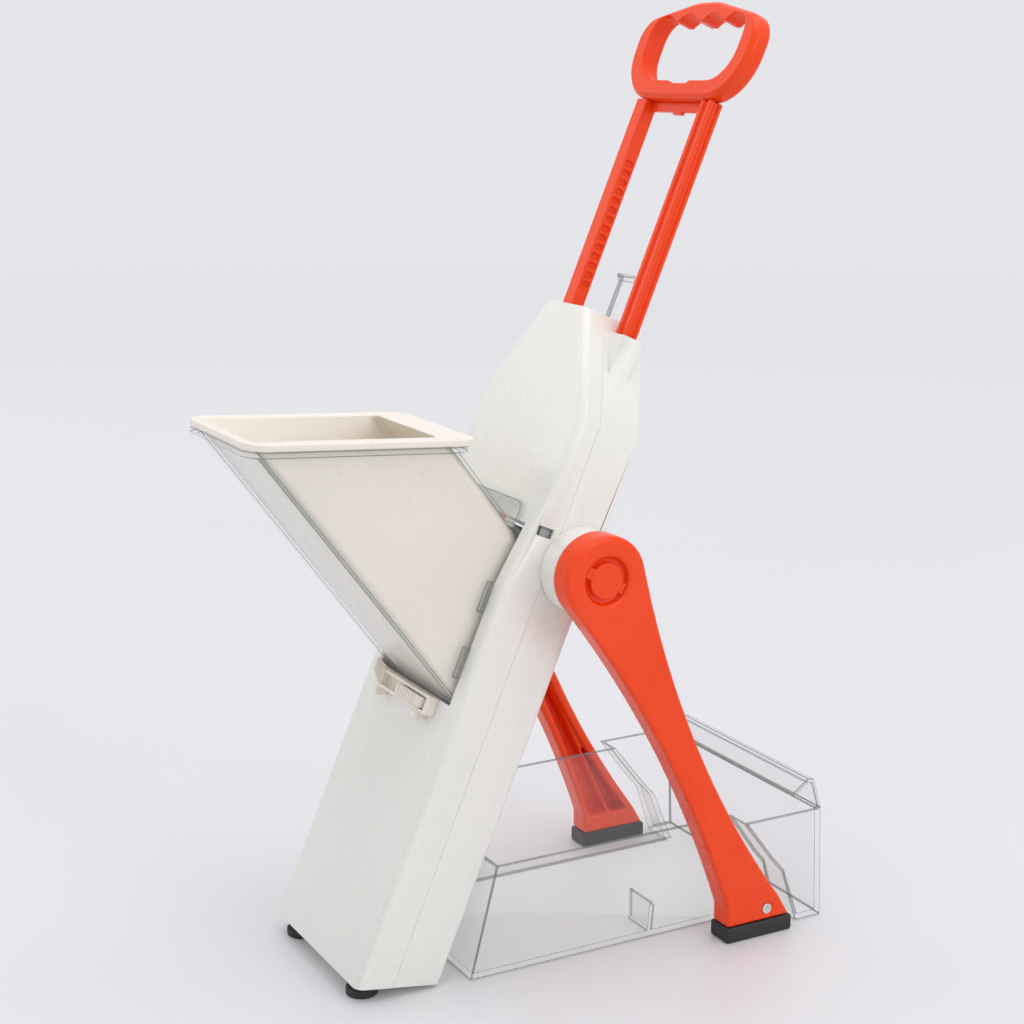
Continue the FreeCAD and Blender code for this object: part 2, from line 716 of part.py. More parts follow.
def latch_pieces():
    """Bracket below the chute, and the ribbed button that lets the chute go."""
    top = size("mouth_low") - SLIP - 1
    left, foot_wide = -24.0, 4.0
    frame = block((left, 30.5), (-6.0, 0.0), (top - 9.5, top))
    slot = block((left + 3, 28.0), (-7.0, -1.6), (top - 8.0, top - 1.5))
    cheek = new_body("latch_cheek")
    pad(outline(cheek, "YZ_Plane", [(0.0, top - 9.5), (-6.0, top - 9.5), (-12.0, top - 1.5),
                                    (-12.0, top + 5.0), (0.0, top - 1.0)], left),
        2.6, "YZ_Plane")
    feet = []
    for x in (left, 20.5):
        feet.append(rod("X", (-5.0, top - 11.5), 2.6, x, x + foot_wide))
        feet.append(block((x, x + foot_wide), (-4.0, 0.0), (top - 12.5, top - 8.5)))
    leaning(fuse("latch_bracket", cut("latch_frame", frame, slot), cheek, *feet))
    face = block((0.0, 26.0), (-8.2, -2.2), (top - 7.4, top - 2.1))
    ribs = [block((x, x + 1.4), (-9.0, -8.0), (top - 7.0, top - 2.5))
            for x in range(2, 25, 3)]
    leaning(fuse("latch_button", face, *ribs))


# ---------------------------------------------------------------- handle and carriage

def grip_handle():
    """One moulded D grip: crowned top bar with four finger hollows, bevelled all round."""
    body = new_body("grip_solid")
    half = size("grip_half")
    low = size("grip_low")
    top = size("grip_top")
    thick = size("grip_thick")
    front = size("rod_depth") - thick / 2
    crown = size("grip_crown")
    outer = [(1 - half, low), (half - 1, low), (half, top - crown), (crown, top), (-crown, top),
             (-half, top - crown)]
    pad(outline(body, "XZ_Plane", outer, front), thick, "XZ_Plane")

    def corner(low_edge, high_edge):
        return lambda e: (near(e.BoundBox.YLength, thick) and e.BoundBox.ZMin > low_edge
                          and e.BoundBox.ZMin < high_edge)

    dress(body, "Fillet", corner(low.number - 1, low.number + 1), size("grip_low_round"))
    dress(body, "Fillet", corner(top.number - crown.number - 1, top.number - 1),
          size("grip_top_round"))
    dress(body, "Fillet", corner(top.number - 0.5, top.number + 1), 3 * size("grip_top_round"))
    dress(body, "Chamfer", lambda e: e.BoundBox.YLength < TINY, size("grip_bevel"))
    arm = size("grip_arm")
    sill = low + size("bar_high")
    head = top - size("grip_bar")
    inside = half - arm
    radius = size("finger_radius")
    high = head + size("finger_deep") - radius
    outmost = inside - radius
    hole = [(-inside, sill), (inside, sill), (inside, high), (outmost, head), (-outmost, head),
            (-inside, high)]
    window = new_body("grip_window")
    pad(outline(window, "XZ_Plane", hole, front - 1), thick + 2, "XZ_Plane")
    dress(window, "Fillet", lambda e: e.BoundBox.YLength > thick.number + 1
          and e.BoundBox.ZMin < sill.number + 1, size("window_round"))
    fingers = [rod("Y", (x, high), radius, front - 1, front + thick + 1)
               for x in (-outmost, -size("finger_pitch") / 2, size("finger_pitch") / 2, outmost)]
    notch = block((-size("notch_half"), size("notch_half")), (front - 1, front + thick + 1),
                  (sill - size("notch_deep"), sill + 1))
    return leaning(cut("grip_handle", body, window, notch, *fingers))


def handle_rods():
    """Two channel rods: ladder slots in the left one, long grooves in the right one."""
    x = size("rod_wide") / 2
    y = size("rod_thick") / 2
    low, high = size("rod_low"), size("grip_low")
    middle = size("rod_depth")
    at = size("rod_at")
    groove = size("rod_groove")
    right = block((at - x, at + x), (middle - y, middle + y), (low, high))
    from_low = size("body_long") - 60
    long_grooves = [
        block((at - 1.6, at + 1.6), (middle - y - 1, middle - y + groove), (from_low, high)),
        block((at + x - groove, at + x + 1), (middle - 1.2, middle + 1.8), (from_low, high))]
    leaning(cut("right_rod", right, *long_grooves))
    left = block((-at - x, -at + x), (middle - y, middle + y), (low, high))
    slots = []
    for k in range(int(size("rung_count").number)):
        start = size("rung_from") + size("rung_pitch") * k
        slots.append(block((-at + x - groove, -at + x + 1),
                           (middle - y + 1.6, middle + y - 1.2), (start, start + 3.0)))
    leaning(cut("left_rod", left, *slots))
    web = [block((-at + x, at - x), (middle + 1.0, middle + 3.4), (high - 5, high))]
    leaning(fuse("handle_web", web[0], block((-4.0, 4.0), (middle + 1.0, middle + 3.4),
                                             (high - 6.4, high - 5))))


def blade_carriage():
    face, thick = size("plate_depth"), size("plate_thick")
    half, back = size("carriage_half"), size("rail_back")
    low, top = size("carriage_low"), size("carriage_top")
    edge = size("blade_edge")
    plate = new_body("carriage_plate")
    run = (HALF - size("top_half")) / (LONG - size("shoulder_from"))
    chamfer_from = size("shoulder_from") - 4
    top_half = half - run * (top - chamfer_from)
    pad(outline(plate, "XZ_Plane", [(-half, edge + 4), (half, edge + 4), (half, chamfer_from),
                                    (top_half, top), (-top_half, top), (-half, chamfer_from)],
                face + size("blade_thick")), thick, "XZ_Plane")
    rail = size("rail_wide")
    pieces = [plate]
    for sign in (1, -1):
        x = (half - rail, half) if sign > 0 else (-half, rail - half)
        pieces.append(block(x, (face, back), (low, chamfer_from)))
        at = sign * size("rod_at")
        boss = size("blade_edge") + 50
        pieces.append(block((at - 4, at + 4), (face + thick, size("rod_depth")
                            - size("rod_thick") / 2), (boss, boss + 14)))
        lug = ((size("spring_x") - 4, half) if sign > 0 else (-half, 4 - size("spring_x")))
        pieces.append(block(lug, (back - 1, size("rod_depth") + 4),
                            (size("spring_high"), size("spring_high") + 5)))
    bridge = size("bridge_at")
    tall = size("bridge_tall") / 2
    pieces.append(block((-half, half), (size("bridge_depth"), back), (bridge - tall,
                                                                      bridge + tall)))
    pieces.append(block((-half, half), (face + thick, back), (low, low + 3.4)))
    for sign in (1, -1):
        at = sign * size("rod_at")
        pieces.append(block((at - 4, at + 4), (back - 1, size("rod_depth")
                            - size("rod_thick") / 2), (bridge - tall, bridge + tall)))
    whole = fuse("carriage_whole", *pieces)
    bore = rod("Y", (0.0, bridge), size("shaft_radius") + RUN, 0.0, DEPTH)
    return leaning(cut("blade_carriage", whole, bore))


def blades():
    """Main blade: a ground steel strip with a skewed edge, held by screws on the plate."""
    face = size("plate_depth")
    edge, tall, half = size("blade_edge"), size("blade_tall"), size("blade_half")
    blade = new_body("main_blade")
    pad(outline(blade, "XZ_Plane", [(-half, edge), (half, edge - 6), (half, edge + tall),
                                    (-half, edge + tall)], face),
        size("blade_thick"), "XZ_Plane")
    leaning(blade)
    heads = [rod("Y", (x, edge + tall - 5), 2.2, face - GAP, face) for x in (-34.0, 0.0, 34.0)]
    leaning(group("blade_screws", *heads))


def platform():
    half = size("carriage_half") - size("rail_wide") - GAP
    face, thick = size("platform_depth"), size("platform_thick")
    low = size("carriage_low") + 3.4 + GAP
    plate = block((-half, half), (face, face + thick), (low, size("platform_top")))
    ribs = [block((x, x + 1.8), (face - 0.7, face + 0.1), (low + 4, size("platform_top") - 4))
            for x in range(-36, 37, 12)]
    return leaning(fuse("thickness_platform", plate, *ribs))


def thickness_dial():
    radius, at = size("dial_radius"), size("bridge_at")
    start = size("rail_back") + GAP
    knob = rod("Y", (0.0, at), radius, start, start + size("dial_thick"))
    shaft = rod("Y", (0.0, at), size("shaft_radius"), size("platform_depth")
                + size("platform_thick") + 3.6, start + 1)
    count = 18
    flutes = []
    for k in range(count):
        turn = 2 * math.pi * k / count
        spot = (radius * math.cos(turn), at + radius * math.sin(turn))
        flutes.append(rod("Y", spot, 1.2, start + 1.4, start + OVER))
    mark = block((-0.8, 0.8), (start + size("dial_thick") - 0.8, start + OVER),
                 (at + 6, at + 13))
    return leaning(cut("thickness_dial", fuse("dial_solid", knob, shaft), mark, *flutes))


def julienne_comb():
    """Steel comb behind the slicing gap, on a slider that is pushed from behind."""
    half = size("carriage_half") - size("rail_wide") - GAP
    low = size("platform_top") + 2.0
    depth = size("platform_depth") + 2.6
    bar = block((-half, half), (depth, depth + 3.0), (low, low + 7))
    knob = block((-7.0, 7.0), (depth + 3, depth + 14), (low + 1, low + 6))
    grip = block((-9.0, 9.0), (depth + 14, depth + 16), (low - 1, low + 8))
    leaning(fuse("comb_slider", bar, knob, grip))
    teeth = []
    count = int(size("comb_teeth").number)
    for k in range(count):
        x = size("comb_pitch") * (k - (count - 1) / 2)
        teeth.append(block((x, x + size("comb_tooth")), (depth - 2.6, depth), (low, low + 7)))
    leaning(group("julienne_comb", *teeth))


def springs():
    pieces = []
    for sign in (1, -1):
        spot = (sign * size("spring_x"), size("rod_depth"))
        tube = rod("Z", spot, size("spring_radius"), size("spring_low"), size("spring_high"))
        core = rod("Z", spot, size("spring_radius") - size("spring_wall"),
                   size("spring_low") - 1, size("spring_high") + 1)
        pieces.append(cut("spring", tube, core))
    leaning(group("return_springs", *pieces))
    pegs = [rod("Z", (sign * size("spring_x"), size("rod_depth")), size("peg_radius"),
                size("spring_low") - 8, size("spring_low") + 32) for sign in (1, -1)]
    leaning(group("spring_pegs", *pegs))


def lock_tab():
    """Clear hook that swings over the crossbar's notch and holds the handle down."""
    half, top = size("tab_half"), size("tab_top")
    front, thick = size("tab_depth"), size("tab_thick")
    pivot = size("tab_pivot")
    body = new_body("lock_tab")
    nose = 1.9
    profile = [(front, pivot - 3), (front + thick, pivot - 3), (front + thick, top),
               (front - nose, top), (front - nose, top - 1.6), (front, top - 3.4)]
    pad(outline(body, "YZ_Plane", profile), 2 * half, "YZ_Plane", both=True)
    pocket(circles(body, "YZ_Plane", [(front + thick / 2, pivot, size("pin_radius")
                                       + RUN)], -OVER), 2 * OVER, "YZ_Plane")
    leaning(body)
    tab = half + 2 * GAP
    leaning(group("lock_tab_pin", rod("X", (front + thick / 2, pivot),
                                      size("pin_radius"), -tab - 2.4, tab + 2.4)))


# ---------------------------------------------------------------- legs

def hub_spot():
    """Leg pivot in the row frame before the footprint shift: (y, z)."""
    along, depth = size("hub_along"), size("hub_depth")
    return (along * cosine(LEAN) + depth * sine(LEAN),
            FRONT_LIFT + along * sine(LEAN) - depth * cosine(LEAN))


def leg():
    """Right leg: a hollow moulded leg, open on its inner side, with a rib down the middle."""
    y, z = hub_spot()
    radius = size("hub_radius")
    foot = y + size("leg_reach")
    half = size("shoe_half")
    floor = size("shoe_high")
    inner, thick = size("leg_inner"), size("leg_thick")
    front, rear = foot - half, foot + half
    hollow_in = size("leg_hollow")
    wall = size("leg_wall")
    body = new_body("leg_blank")
    points = [(y - radius * 0.826, z - radius * 0.562, radius),
              (front, floor + 10, -size("leg_front_sweep")),
              (front, floor), (rear, floor), (rear - 7, floor + 12),
              (y + radius * 0.977, z + radius * 0.215, -size("leg_rear_sweep")),
              (y, z + radius, radius)]
    pad(outline(body, "YZ_Plane", points, inner), thick, "YZ_Plane")
    deep = thick - wall
    top = z - radius - 10
    cavity = [(y + hollow_in + 1.5, top), (front + hollow_in, floor + 10,
                                           -size("leg_front_sweep")),
              (rear - hollow_in - 7.5, floor + 10),
              (y + radius + 7 - hollow_in, top, -size("leg_rear_sweep"))]
    pocket(outline(body, "YZ_Plane", cavity, inner - 1), deep + 1, "YZ_Plane")
    ring = size("cap_radius") + size("cap_slot")
    outer = inner + thick
    pocket(circles(body, "YZ_Plane", [(y, z, ring)], outer - 3.4), OVER, "YZ_Plane")
    pocket(circles(body, "YZ_Plane", [(y, z, size("pivot_radius") + RUN)], inner - 1),
           OVER + OVER, "YZ_Plane")
    screw_y, screw_z = foot + 5.0, floor + 6.0
    pocket(circles(body, "YZ_Plane", [(screw_y, screw_z, size("screw_radius") + 0.5)],
                   outer - 1.6), OVER, "YZ_Plane")
    dress(body, "Fillet", lambda e: near(e.BoundBox.XMin, outer.number) and e.BoundBox.XLength
          < TINY and e.BoundBox.DiagonalLength > 9 * size("screw_radius").number / 2
          and not round_the_cap(e, y.number, z.number, ring.number), 1.6)
    disc = cut("hub_disc", rod("X", (y, z), size("disc_radius"), outer - 1, outer
                               + size("disc_high")),
               rod("X", (y, z), ring, outer - 2, outer + OVER))
    rib = new_body("leg_rib")
    sweep = (size("leg_front_sweep") + size("leg_rear_sweep")) * 2
    pad(outline(rib, "YZ_Plane",
                [(y + 13, top + 4), (foot - 2.5, floor + 8, -sweep), (foot - 0.5, floor + 8),
                 (y + 15, top + 4, sweep)], inner + 3), deep - 2, "YZ_Plane")
    whole = fuse("right_leg_whole", body, disc, rib)
    cap = leg_cap(y, z, outer)
    screw = shoe_screw(screw_y, screw_z, outer)
    return whole, cap, screw


def round_the_cap(edge, y, z, ring):
    middle = edge.BoundBox.Center
    return math.hypot(middle.y - y, middle.z - z) < 1 and edge.BoundBox.YLength < 2 * ring + 1


def leg_cap(y, z, outer):
    """Snap cap over the pivot, with two bridges that leave arc slots round it."""
    disc = rod("X", (y, z), size("cap_radius"), outer - 3.4, outer - 0.3)
    reach = size("cap_radius") + size("cap_slot") - 0.5
    bridges = []
    for turn in (62.0, 242.0):
        bar = doc.addObject("Part::Box", "cap_bridge")
        bind(bar, "Length", 2.4)
        bind(bar, "Width", 5.6)
        bind(bar, "Height", reach)
        spin = Rotation(Vector(1, 0, 0), turn)
        bar.Placement = Placement(Vector(), spin)
        shift = spin.multVec(Vector(0, -2.8, 0))
        bind(bar, "Placement.Base.x", outer - 3.4)
        bind(bar, "Placement.Base.y", y + shift.y)
        bind(bar, "Placement.Base.z", z + shift.z)
        bridges.append(bar)
    return fuse("right_cap_solid", disc, *bridges)


def shoe_screw(y, z, outer):
    head = rod("X", (y, z), size("screw_radius"), outer - 1.6, outer - 0.1)
    cross = [block((outer - 0.9, outer + 1), (y - 1.7, y + 1.7), (z - 0.35, z + 0.35)),
             block((outer - 0.9, outer + 1), (y - 0.35, y + 0.35), (z - 1.7, z + 1.7))]
    return cut("right_screw_solid", head, *cross)


def shoe(y):
    foot = y + size("leg_reach")
    inner, thick = size("leg_inner"), size("leg_thick")
    half, high = size("shoe_half") + 0.8, size("shoe_high")
    tread = block((inner - 0.8, inner + thick + 0.8), (foot - half, foot + half), (0.0, high))
    return tread


def legs():
    whole, cap, screw = leg()
    y, z = hub_spot()
    for name, piece in (("leg", whole), ("hub_cap", cap), ("shoe_screw", screw),
                        ("shoe", shoe(y))):
        right = upright(group("right_" + name, piece))
        NODES.append(mirrored("left_" + name, right))
    pins = []
    rings = []
    half = HALF - size("seam_step")
    for sign in (1, -1):
        ends = (half - 3 * WALL, size("leg_inner") + size("leg_thick") - 4)
        ends = ends if sign > 0 else (-ends[1], -ends[0])
        pins.append(rod("X", (y, z), size("pivot_radius"), *ends))
        span = (half, size("leg_inner") - GAP)
        span = span if sign > 0 else (-span[1], -span[0])
        disc = rod("X", (y, z), size("hub_radius") - 0.8, *span)
        bore = rod("X", (y, z), size("pivot_radius"), span[0] - 1, span[1] + 1)
        rings.append(cut("hub_ring", disc, bore))
    upright(group("leg_pivots", *pins))
    upright(group("hub_rings", *rings))


# ---------------------------------------------------------------- catch tray

def tray_narrow(label, inset, floor):
    """Drafted bin of the tray between two level rectangles."""
    body = new_body(label)
    top_front = size("tray_front") + 11
    low = [(-size("tray_low_half") + inset, size("tray_front") + inset),
           (size("tray_low_half") - inset, size("tray_front") + inset),
           (size("tray_low_half") - inset, size("tray_rear") - inset),
           (-size("tray_low_half") + inset, size("tray_rear") - inset)]
    high = [(-size("tray_top_half") + inset, top_front + inset),
            (size("tray_top_half") - inset, top_front + inset),
            (size("tray_top_half") - inset, size("tray_rear") - 2 - inset),
            (-size("tray_top_half") + inset, size("tray_rear") - 2 - inset)]
    first = outline(body, "XY_Plane", low, floor)
    second = outline(body, "XY_Plane", high, size("tray_high"))
    loft = body.newObject("PartDesign::AdditiveLoft", label + "_loft")
    loft.Profile = first
    loft.Sections = [second]
    loft.Ruled = True
    doc.recompute()
    return body


def tray_wings(label, inset, floor):
    """Wide rear end, its underside sloping up behind the legs."""
    body = new_body(label)
    step, rear, high = size("tray_step"), size("tray_rear"), size("tray_high")
    points = [(step + inset, high), (step + 18 + inset, high * 0.61),
              (step + 25 + inset, high * 0.48), (step + 34.5 + inset, floor),
              (rear - inset, floor), (rear - 2 - inset, high)]
    pad(outline(body, "YZ_Plane", points), 2 * (size("tray_wide_half") - inset), "YZ_Plane",
        both=True)
    return body


def catch_tray():
    wall = size("tray_wall")
    outer = fuse("tray_outer", tray_narrow("bin_outer", lift(0), lift(0)),
                 tray_wings("wings_outer", lift(0), lift(0)))
    inner = fuse("tray_inner", tray_narrow("bin_inner", wall, wall),
                 tray_wings("wings_inner", wall, wall))
    lip = new_body("tray_lip")
    rear, high = size("tray_rear") - 2, size("tray_high")
    rise, reach = size("lip_high"), size("lip_reach")
    points = [(rear - wall, high - 0.5), (rear, high - 0.5), (rear - 5, high + rise),
              (rear - 9, high + rise + 1), (rear - 4 - reach, high + rise - 6),
              (rear - 3 - reach, high + rise - 8), (rear - 9, high + rise - 1.4),
              (rear - 6.6, high + rise - 2)]
    pad(outline(lip, "YZ_Plane", points), 2 * size("tray_wide_half"), "YZ_Plane", both=True)
    bin_shell = cut("tray_shell", outer, inner)
    post_end = size("tray_low_half") - 0.2
    post = block((post_end - 21, post_end), (167.0, 168.8), (wall - 0.5, wall + 17))
    return upright(fuse("catch_tray", bin_shell, lip, post))


# ---------------------------------------------------------------- build and write

front_shell()
rear_shell()
shell_screws()
body_feet()
feed_chute()
food_pusher()
latch_pieces()
grip_handle()
handle_rods()
blade_carriage()
blades()
platform()
thickness_dial()
julienne_comb()
springs()
lock_tab()
legs()
catch_tray()

doc.recompute()
for obj in doc.Objects:
    if "Invalid" in obj.State or "Error" in obj.State:
        raise ValueError(f"{obj.Label}: {obj.State}")
os.makedirs("parts", exist_ok=True)
total = FreeCAD.BoundBox()
for node in NODES:
    shape = node.Shape
    if shape.isNull() or not shape.isValid() or not shape.Solids:
        raise ValueError(node.Label + ": its shape is null or not valid")
    total.add(shape.BoundBox)
    shape.exportStep(f"parts/{node.Label}.step")
    print(node.Label, len(shape.Solids), round(shape.Volume), shape.BoundBox)
print(len(NODES), "nodes", total)
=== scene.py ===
import math

import bmesh
import bpy
from mathutils import Matrix, Vector


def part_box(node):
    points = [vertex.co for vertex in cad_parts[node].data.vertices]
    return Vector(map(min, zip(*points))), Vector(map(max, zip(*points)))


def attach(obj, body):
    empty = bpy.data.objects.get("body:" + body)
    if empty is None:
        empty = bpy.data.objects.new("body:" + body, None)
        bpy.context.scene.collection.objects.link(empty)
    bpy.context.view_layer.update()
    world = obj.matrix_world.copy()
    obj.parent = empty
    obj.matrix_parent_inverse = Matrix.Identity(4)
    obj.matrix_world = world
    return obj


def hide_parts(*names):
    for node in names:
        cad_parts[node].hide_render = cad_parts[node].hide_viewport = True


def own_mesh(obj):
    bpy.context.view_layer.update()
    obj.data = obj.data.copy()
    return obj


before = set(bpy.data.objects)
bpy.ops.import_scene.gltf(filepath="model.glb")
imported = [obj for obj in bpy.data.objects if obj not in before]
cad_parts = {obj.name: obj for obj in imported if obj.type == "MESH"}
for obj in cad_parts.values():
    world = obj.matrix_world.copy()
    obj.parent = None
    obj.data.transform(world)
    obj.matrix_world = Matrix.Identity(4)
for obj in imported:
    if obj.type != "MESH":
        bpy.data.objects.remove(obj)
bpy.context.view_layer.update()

# ---------------------------------------------------------------- table, light and camera
# A pale sheet under soft studio light: one broad softbox overhead, one at the left and a
# weak one at the right. The camera looks slightly down at the slicer's right front.

scene = bpy.context.scene
scene.view_settings.view_transform = "Standard"


def finish_mesh(name, shape, material, smooth_angle=35):
    """Turn a bmesh into an object at the origin with one material."""
    mesh = bpy.data.meshes.new(name)
    shape.to_mesh(mesh)
    shape.free()
    mesh.materials.append(material)
    mesh.shade_smooth()
    mesh.set_sharp_from_angle(angle=math.radians(smooth_angle))
    piece = bpy.data.objects.new(name, mesh)
    scene.collection.objects.link(piece)
    return piece


def node_kit(name):
    """A new material with its shader and a way to add and join nodes."""
    material = bpy.data.materials.new(name)
    material.use_nodes = True
    tree = material.node_tree
    shader = tree.nodes["Principled BSDF"]

    def add(kind, **values):
        node = tree.nodes.new("ShaderNode" + kind)
        for key, value in values.items():
            if hasattr(node, key):
                setattr(node, key, value)
            else:
                node.inputs[key.replace("_", " ")].default_value = value
        return node

    return material, shader, add, tree.links.new


def set_span(node, end, low, high):
    """Set the range a Map Range node reads from or gives."""
    node.inputs[end + " Min"].default_value = low
    node.inputs[end + " Max"].default_value = high


def set_tones(ramp, dark, light):
    """Set the two colours a ramp runs between."""
    ramp.color_ramp.elements[0].color = dark
    ramp.color_ramp.elements[1].color = light


def table_sheet():
    """Matt white sheet that fades into the studio's own light a few metres out."""
    material, shader, add, join = node_kit("table_paper")
    place = add("TexCoord")
    reach = add("VectorMath", operation="LENGTH")
    fade = add("MapRange", interpolation_type="SMOOTHSTEP")
    set_span(fade, "From", 0.6, 4.5)
    set_span(fade, "To", 1.0, 0.0)
    join(place.outputs["Object"], reach.inputs[0])
    join(reach.outputs["Value"], fade.inputs["Value"])
    join(fade.outputs["Result"], shader.inputs["Alpha"])
    glow = add("MapRange", interpolation_type="SMOOTHSTEP")
    set_span(glow, "From", 0.3, 2.0)
    set_span(glow, "To", 0.02, 0.12)
    join(reach.outputs["Value"], glow.inputs["Value"])
    join(glow.outputs["Result"], shader.inputs["Emission Strength"])
    shader.inputs["Emission Color"].default_value = (0.97, 0.97, 1.0, 1)
    mottle = add("TexNoise", Scale=3.0, Detail=3.0)
    tint = add("ValToRGB")
    set_tones(tint, (0.69, 0.69, 0.708, 1), (0.71, 0.71, 0.73, 1))
    join(place.outputs["Object"], mottle.inputs["Vector"])
    join(mottle.outputs["Fac"], tint.inputs["Fac"])
    join(tint.outputs["Color"], shader.inputs["Base Color"])
    shader.inputs["Roughness"].default_value = 0.42
    return material


table_reach = 60.0
sheet = bmesh.new()
bmesh.ops.create_grid(sheet, x_segments=2, y_segments=2, size=table_reach)
floor = finish_mesh("table", sheet, table_sheet())

world = bpy.data.worlds.new("studio")
scene.world = world
world.use_nodes = True
room = world.node_tree.nodes["Background"]
room.inputs["Color"].default_value = (0.855, 0.858, 0.89, 1)
room.inputs["Strength"].default_value = 0.92

for name, spot, aim, width, power, tone in (
        ("softbox_top", (0.1, 0.1, 1.9), (0, 0, 0.1), 1.6, 12.5, (1, 0.995, 0.985)),
        ("softbox_left", (-1.5, -1.3, 1.1), (0, 0, 0.2), 1.0, 4.2, (1, 1, 1)),
        ("softbox_right", (1.7, 0.6, 0.9), (0, 0, 0.2), 0.9, 5.5, (0.98, 0.99, 1))):
    light = bpy.data.lights.new(name, "AREA")
    light.shape = "SQUARE"
    light.size = width
    light.energy = power
    light.color = tone
    lamp = bpy.data.objects.new(name, light)
    lamp.location = spot
    lamp.rotation_euler = (Vector(aim) - Vector(spot)).to_track_quat("-Z", "Y").to_euler()
    scene.collection.objects.link(lamp)

eye = bpy.data.cameras.new("camera")
eye.lens = 67.24
eye.sensor_width = 36.0
eye.shift_x = -0.001
eye.shift_y = -0.0015
eye.clip_start = 0.05
camera = bpy.data.objects.new("camera", eye)
camera.location = (0.83198, -0.44766, 0.43841)
turn, pitch = math.radians(61.46), math.radians(12.78)
gaze = Vector((-math.sin(turn) * math.cos(pitch), math.cos(turn) * math.cos(pitch),
               -math.sin(pitch)))
camera.rotation_euler = gaze.to_track_quat("-Z", "Y").to_euler()
scene.collection.objects.link(camera)
scene.camera = camera

# ---------------------------------------------------------------- body shells
# Two moulded halves in warm white ABS, front and rear, screwed together at a fine seam on
# the side, with a round boss on each flank for a leg to turn on. The mould leaves a soft
# gloss with a faint skin, and every edge is slightly eased.


def moulded_plastic(name, colour, drift, rough, skin=0.035, glow_through=0.0, shine=0.5):
    """Moulded plastic whose tint drifts a little, with uneven gloss and a fine skin."""
    material, shader, add, join = node_kit(name)
    place = add("TexCoord")
    clouds = add("TexNoise", Scale=14.0, Detail=4.0, Roughness=0.55)
    tint = add("ValToRGB")
    low, high = tint.color_ramp.elements
    low.position, high.position = 0.34, 0.66
    low.color = (*[max(0.0, c - drift * (0.4 + c)) for c in colour], 1)
    high.color = (*[min(1.0, c + drift * (0.4 + c) * 0.5) for c in colour], 1)
    haze = add("TexNoise", Scale=55.0, Detail=5.0)
    gloss = add("MapRange")
    set_span(gloss, "From", 0.3, 0.7)
    set_span(gloss, "To", rough * 0.86, rough * 1.16)
    grain = add("TexNoise", Scale=900.0, Detail=3.0)
    bump = add("Bump")
    bump.inputs["Strength"].default_value = skin
    bump.inputs["Distance"].default_value = 0.0002
    for texture in (clouds, haze, grain):
        join(place.outputs["Object"], texture.inputs["Vector"])
    join(clouds.outputs["Fac"], tint.inputs["Fac"])
    join(tint.outputs["Color"], shader.inputs["Base Color"])
    join(haze.outputs["Fac"], gloss.inputs["Value"])
    join(gloss.outputs["Result"], shader.inputs["Roughness"])
    join(grain.outputs["Fac"], bump.inputs["Height"])
    join(bump.outputs["Normal"], shader.inputs["Normal"])
    shader.inputs["IOR"].default_value = 1.5
    shader.inputs["Specular IOR Level"].default_value = shine
    if glow_through:
        shader.inputs["Subsurface Weight"].default_value = glow_through
        shader.inputs["Subsurface Radius"].default_value = (1.0, 0.7, 0.45)
        shader.inputs["Subsurface Scale"].default_value = 0.004
    return material


def joined_shape(node):
    """A copy of a node's mesh with its loose triangles joined up."""
    shape = bmesh.new()
    shape.from_mesh(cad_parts[node].data)
    bmesh.ops.remove_doubles(shape, verts=shape.verts, dist=2e-6)
    return shape


def eased(node, width, material, steps=2):
    """A copy of a moulded shape with its sharp edges rounded over."""
    shape = joined_shape(node)
    bmesh.ops.dissolve_limit(shape, angle_limit=math.radians(0.4), verts=shape.verts,
                             edges=shape.edges)
    piece = finish_mesh(node + "_moulded", shape, material, 50)
    bevel = piece.modifiers.new("eased_edges", "BEVEL")
    bevel.limit_method = "ANGLE"
    bevel.angle_limit = math.radians(32)
    bevel.width = width
    bevel.segments = steps
    bevel.use_clamp_overlap = False
    bevel.harden_normals = True
    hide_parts(node)
    return piece


white = moulded_plastic("white_abs", (0.815, 0.805, 0.755), 0.010, 0.27)

for node in ("front_shell", "rear_shell"):
    shell = eased(node, 0.0005, white)
    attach(shell, "body")

boss = eased("hub_rings", 0.0012, white, steps=3)
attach(boss, "body")

# ---------------------------------------------------------------- grip, rods and legs
# Vivid orange plastic. The D grip, its two rods and the web between them are fixed together
# as the handle. The legs, their snap caps and the thickness dial are moulded in the same
# plastic, and most of their edges are well rounded.

lean = math.radians(66.8)                       # how steeply the body and the rods stand
upright_turn = Matrix.Rotation(math.pi / 2 - lean, 4, "X")


def soft_moulding(node, grain, passes, material, turn=None):
    """A copy of a moulded shape, given an even skin and smoothed until its edges are round."""
    shape = joined_shape(node)
    if turn:
        bmesh.ops.transform(shape, matrix=turn, verts=shape.verts)
    piece = finish_mesh(node + "_moulded", shape, material, 180)
    skin = piece.modifiers.new("skin", "REMESH")
    skin.mode = "VOXEL"
    skin.voxel_size = grain
    rub = piece.modifiers.new("rub", "SMOOTH")
    rub.factor = 0.5
    rub.iterations = passes
    done = piece.evaluated_get(bpy.context.evaluated_depsgraph_get())
    mesh = bpy.data.meshes.new_from_object(done)
    piece.modifiers.clear()
    if turn:
        mesh.transform(turn.inverted())
    mesh.shade_smooth()
    piece.data = mesh
    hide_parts(node)
    return piece


orange = moulded_plastic("orange_plastic", (0.89, 0.062, 0.008), 0.012, 0.27, skin=0.05,
                         shine=0.28)

grip = soft_moulding("grip_handle", 0.0006, 9, orange, upright_turn)
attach(grip, "carriage")

for side in ("right", "left"):
    leg = soft_moulding(side + "_leg", 0.00075, 12, orange)
    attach(leg, side + "_leg_body")
    cap = soft_moulding(side + "_hub_cap", 0.0003, 3, orange)
    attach(cap, side + "_leg_body")
    rod = soft_moulding(side + "_rod", 0.0005, 2, orange, upright_turn)
    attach(rod, "carriage")

web = eased("handle_web", 0.0004, orange)
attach(web, "carriage")

